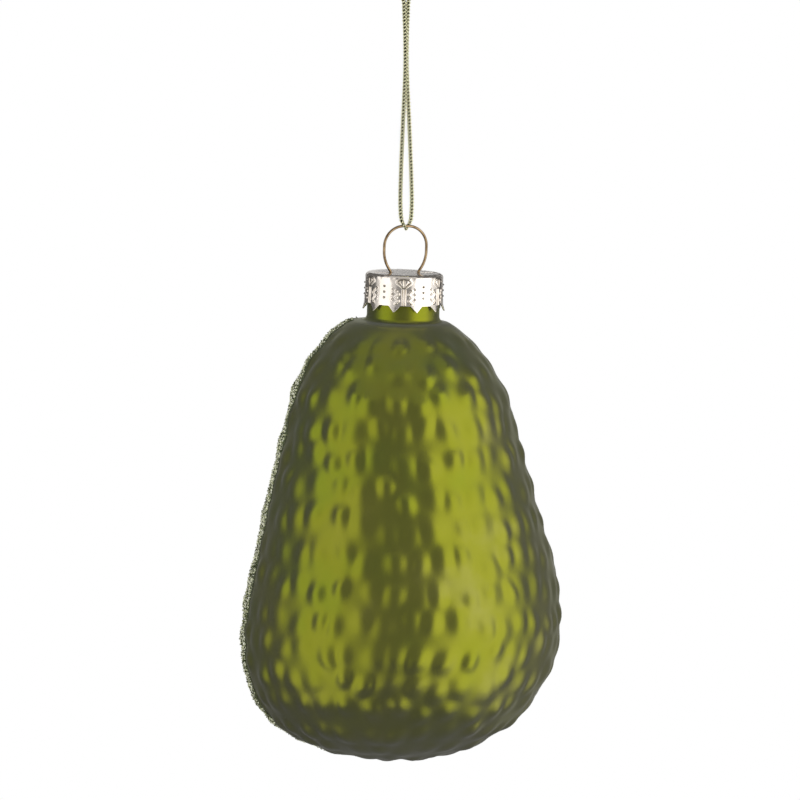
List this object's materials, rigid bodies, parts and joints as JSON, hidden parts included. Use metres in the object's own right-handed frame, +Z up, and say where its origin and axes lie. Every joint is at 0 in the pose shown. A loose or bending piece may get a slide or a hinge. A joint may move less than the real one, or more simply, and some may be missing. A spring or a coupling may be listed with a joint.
{
  "type": "half avocado ornament",
  "caption": "Hanging blown-glass ornament shaped like half an avocado, with a glitter rim, a stamped crown cap, a wire hanger ring and a braided cord loop.",
  "frame": {"origin": "in the eye of the cord loop, under the knot, where a hook or twig carries the ornament", "axes": "+Z up along the hanging cord, +Y out of the cut face, +X along the hanger ring"},
  "size_m": [0.0768, 0.0557, 0.1991],
  "materials": {
    "lacquered_glass": "silvered inside, satin olive-green lacquer outside",
    "green_glitter": "glued metallic glitter flakes",
    "cap_metal": "stamped, champagne-silver plated",
    "hanger_brass": "drawn wire, bright",
    "metallic_cord": "braided metallic yarn"
  },
  "bodies": {
    "cord": {"cord_loop": "metallic_cord", "cord_knot": "metallic_cord"},
    "hanger": {"hanger_wire": "hanger_brass"},
    "cap": {"cap": "cap_metal"},
    "glass": {"glass_body": "lacquered_glass", "glitter_rim": "green_glitter"}
  },
  "joints": [
    {"name": "ring_swing", "type": "hinge", "parent": "cord", "child": "hanger", "pos_m": [0, 0, -0.064], "axis": [1, 0, 0], "range_deg": [-90, 90]},
    {"name": "hanger_pull", "type": "slide", "parent": "hanger", "child": "cap", "axis": [0, 0.0906, -0.9959], "range_m": [0, 0.02]},
    {"name": "cap_spin", "type": "hinge", "parent": "cap", "child": "glass", "pos_m": [0, 0.001, -0.07504], "axis": [0, -0.0906, 0.9959], "continuous": true}
  ]
}
